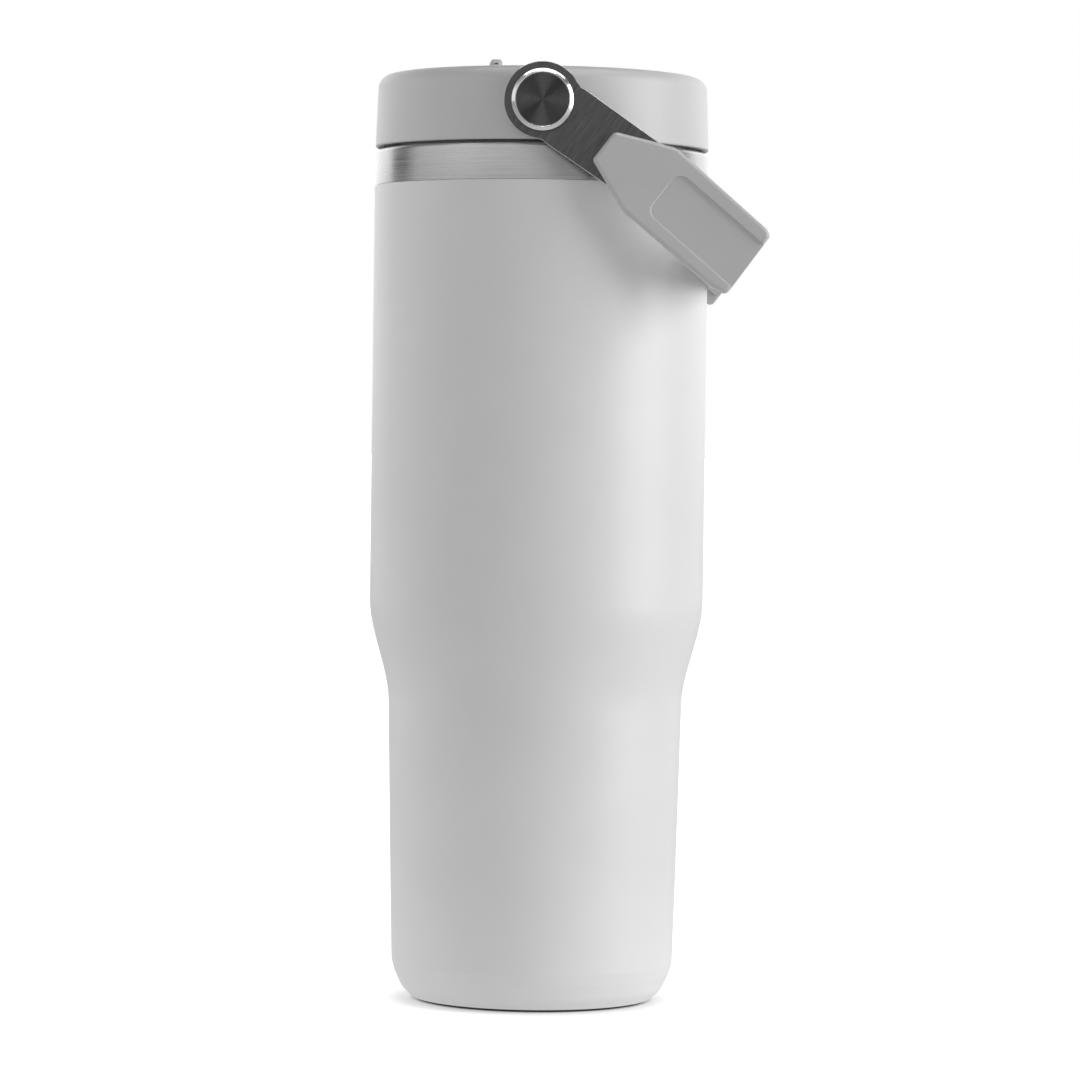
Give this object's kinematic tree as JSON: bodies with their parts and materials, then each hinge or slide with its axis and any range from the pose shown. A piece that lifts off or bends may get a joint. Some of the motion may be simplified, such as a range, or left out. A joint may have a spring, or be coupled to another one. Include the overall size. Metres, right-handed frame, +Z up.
{
  "type": "insulated water bottle",
  "caption": "Vacuum-insulated steel bottle with a tapered cup-holder base, a screw lid with a flip spout and straw, and a swing-over carry handle.",
  "frame": {"origin": "centre of the flat underside of the base pad, on the bottle's axis", "axes": "+Z up along the bottle's axis; the handle hangs towards +X; its pivots face -Y (front) and +Y (back)"},
  "size_m": [0.1045, 0.1012, 0.253],
  "materials": {
    "powder_coat": "satin powder coat with a fine orange-peel texture",
    "band_steel": "bare steel, brushed round the neck",
    "liner_steel": "plain drawn and electropolished steel",
    "arm_steel": "dark steel, brushed across the arm",
    "cap_steel": "dark steel with turned rings and a bright bevel",
    "lid_plastic": "satin moulded polypropylene",
    "grip_plastic": "satin moulded plastic",
    "silicone": "matt silicone",
    "straw_plastic": "clear-white extruded straw",
    "copper": "copper foil",
    "pad_rubber": "dark matt rubber"
  },
  "bodies": {
    "bottle": {"outer_shell": "powder_coat", "neck_band": "band_steel", "inner_liner": "liner_steel", "copper_foil": "copper", "base_plate": "liner_steel", "vacuum_seal": "liner_steel", "getter": "liner_steel", "base_pad": "pad_rubber"},
    "seal": {"lid_gasket": "silicone"},
    "lid": {"lid_cap": "lid_plastic", "lid_plug": "lid_plastic", "straw_socket": "lid_plastic", "spout_seal": "silicone", "straw": "straw_plastic", "vent_valve": "silicone", "spout_pin_front": "cap_steel", "spout_pin_back": "cap_steel", "pivot_cap_front": "cap_steel", "pivot_cap_back": "cap_steel", "pivot_bush_front": "lid_plastic", "pivot_bush_back": "lid_plastic", "pivot_washer_front": "liner_steel", "pivot_washer_back": "liner_steel", "pivot_screw_front": "liner_steel", "pivot_screw_back": "liner_steel"},
    "spout": {"spout": "grip_plastic"},
    "handle": {"grip": "grip_plastic", "handle_arm_front": "arm_steel", "handle_arm_back": "arm_steel", "grip_rivet_front_1": "liner_steel", "grip_rivet_front_2": "liner_steel", "grip_rivet_back_1": "liner_steel", "grip_rivet_back_2": "liner_steel"}
  },
  "joints": [
    {"name": "lid_lift", "type": "slide", "parent": "bottle", "child": "seal", "axis": [0, 0, 1], "range_m": [0, 0.018]},
    {"name": "lid_turn", "type": "hinge", "parent": "seal", "child": "lid", "pos_m": [0, 0, 0.22], "axis": [0, 0, 1], "range_deg": [0, 720]},
    {"name": "spout_flip", "type": "hinge", "parent": "lid", "child": "spout", "pos_m": [0.013, 0, 0.2435], "axis": [0, 1, 0], "range_deg": [0, 90]},
    {"name": "handle_swing", "type": "hinge", "parent": "lid", "child": "handle", "pos_m": [0, 0, 0.2391], "axis": [0, -1, 0], "range_deg": [0, 252]}
  ],
  "couplings": [
    {"joint": "lid_lift", "follows": "lid_turn", "m_per_rad": 0.0014324}
  ]
}
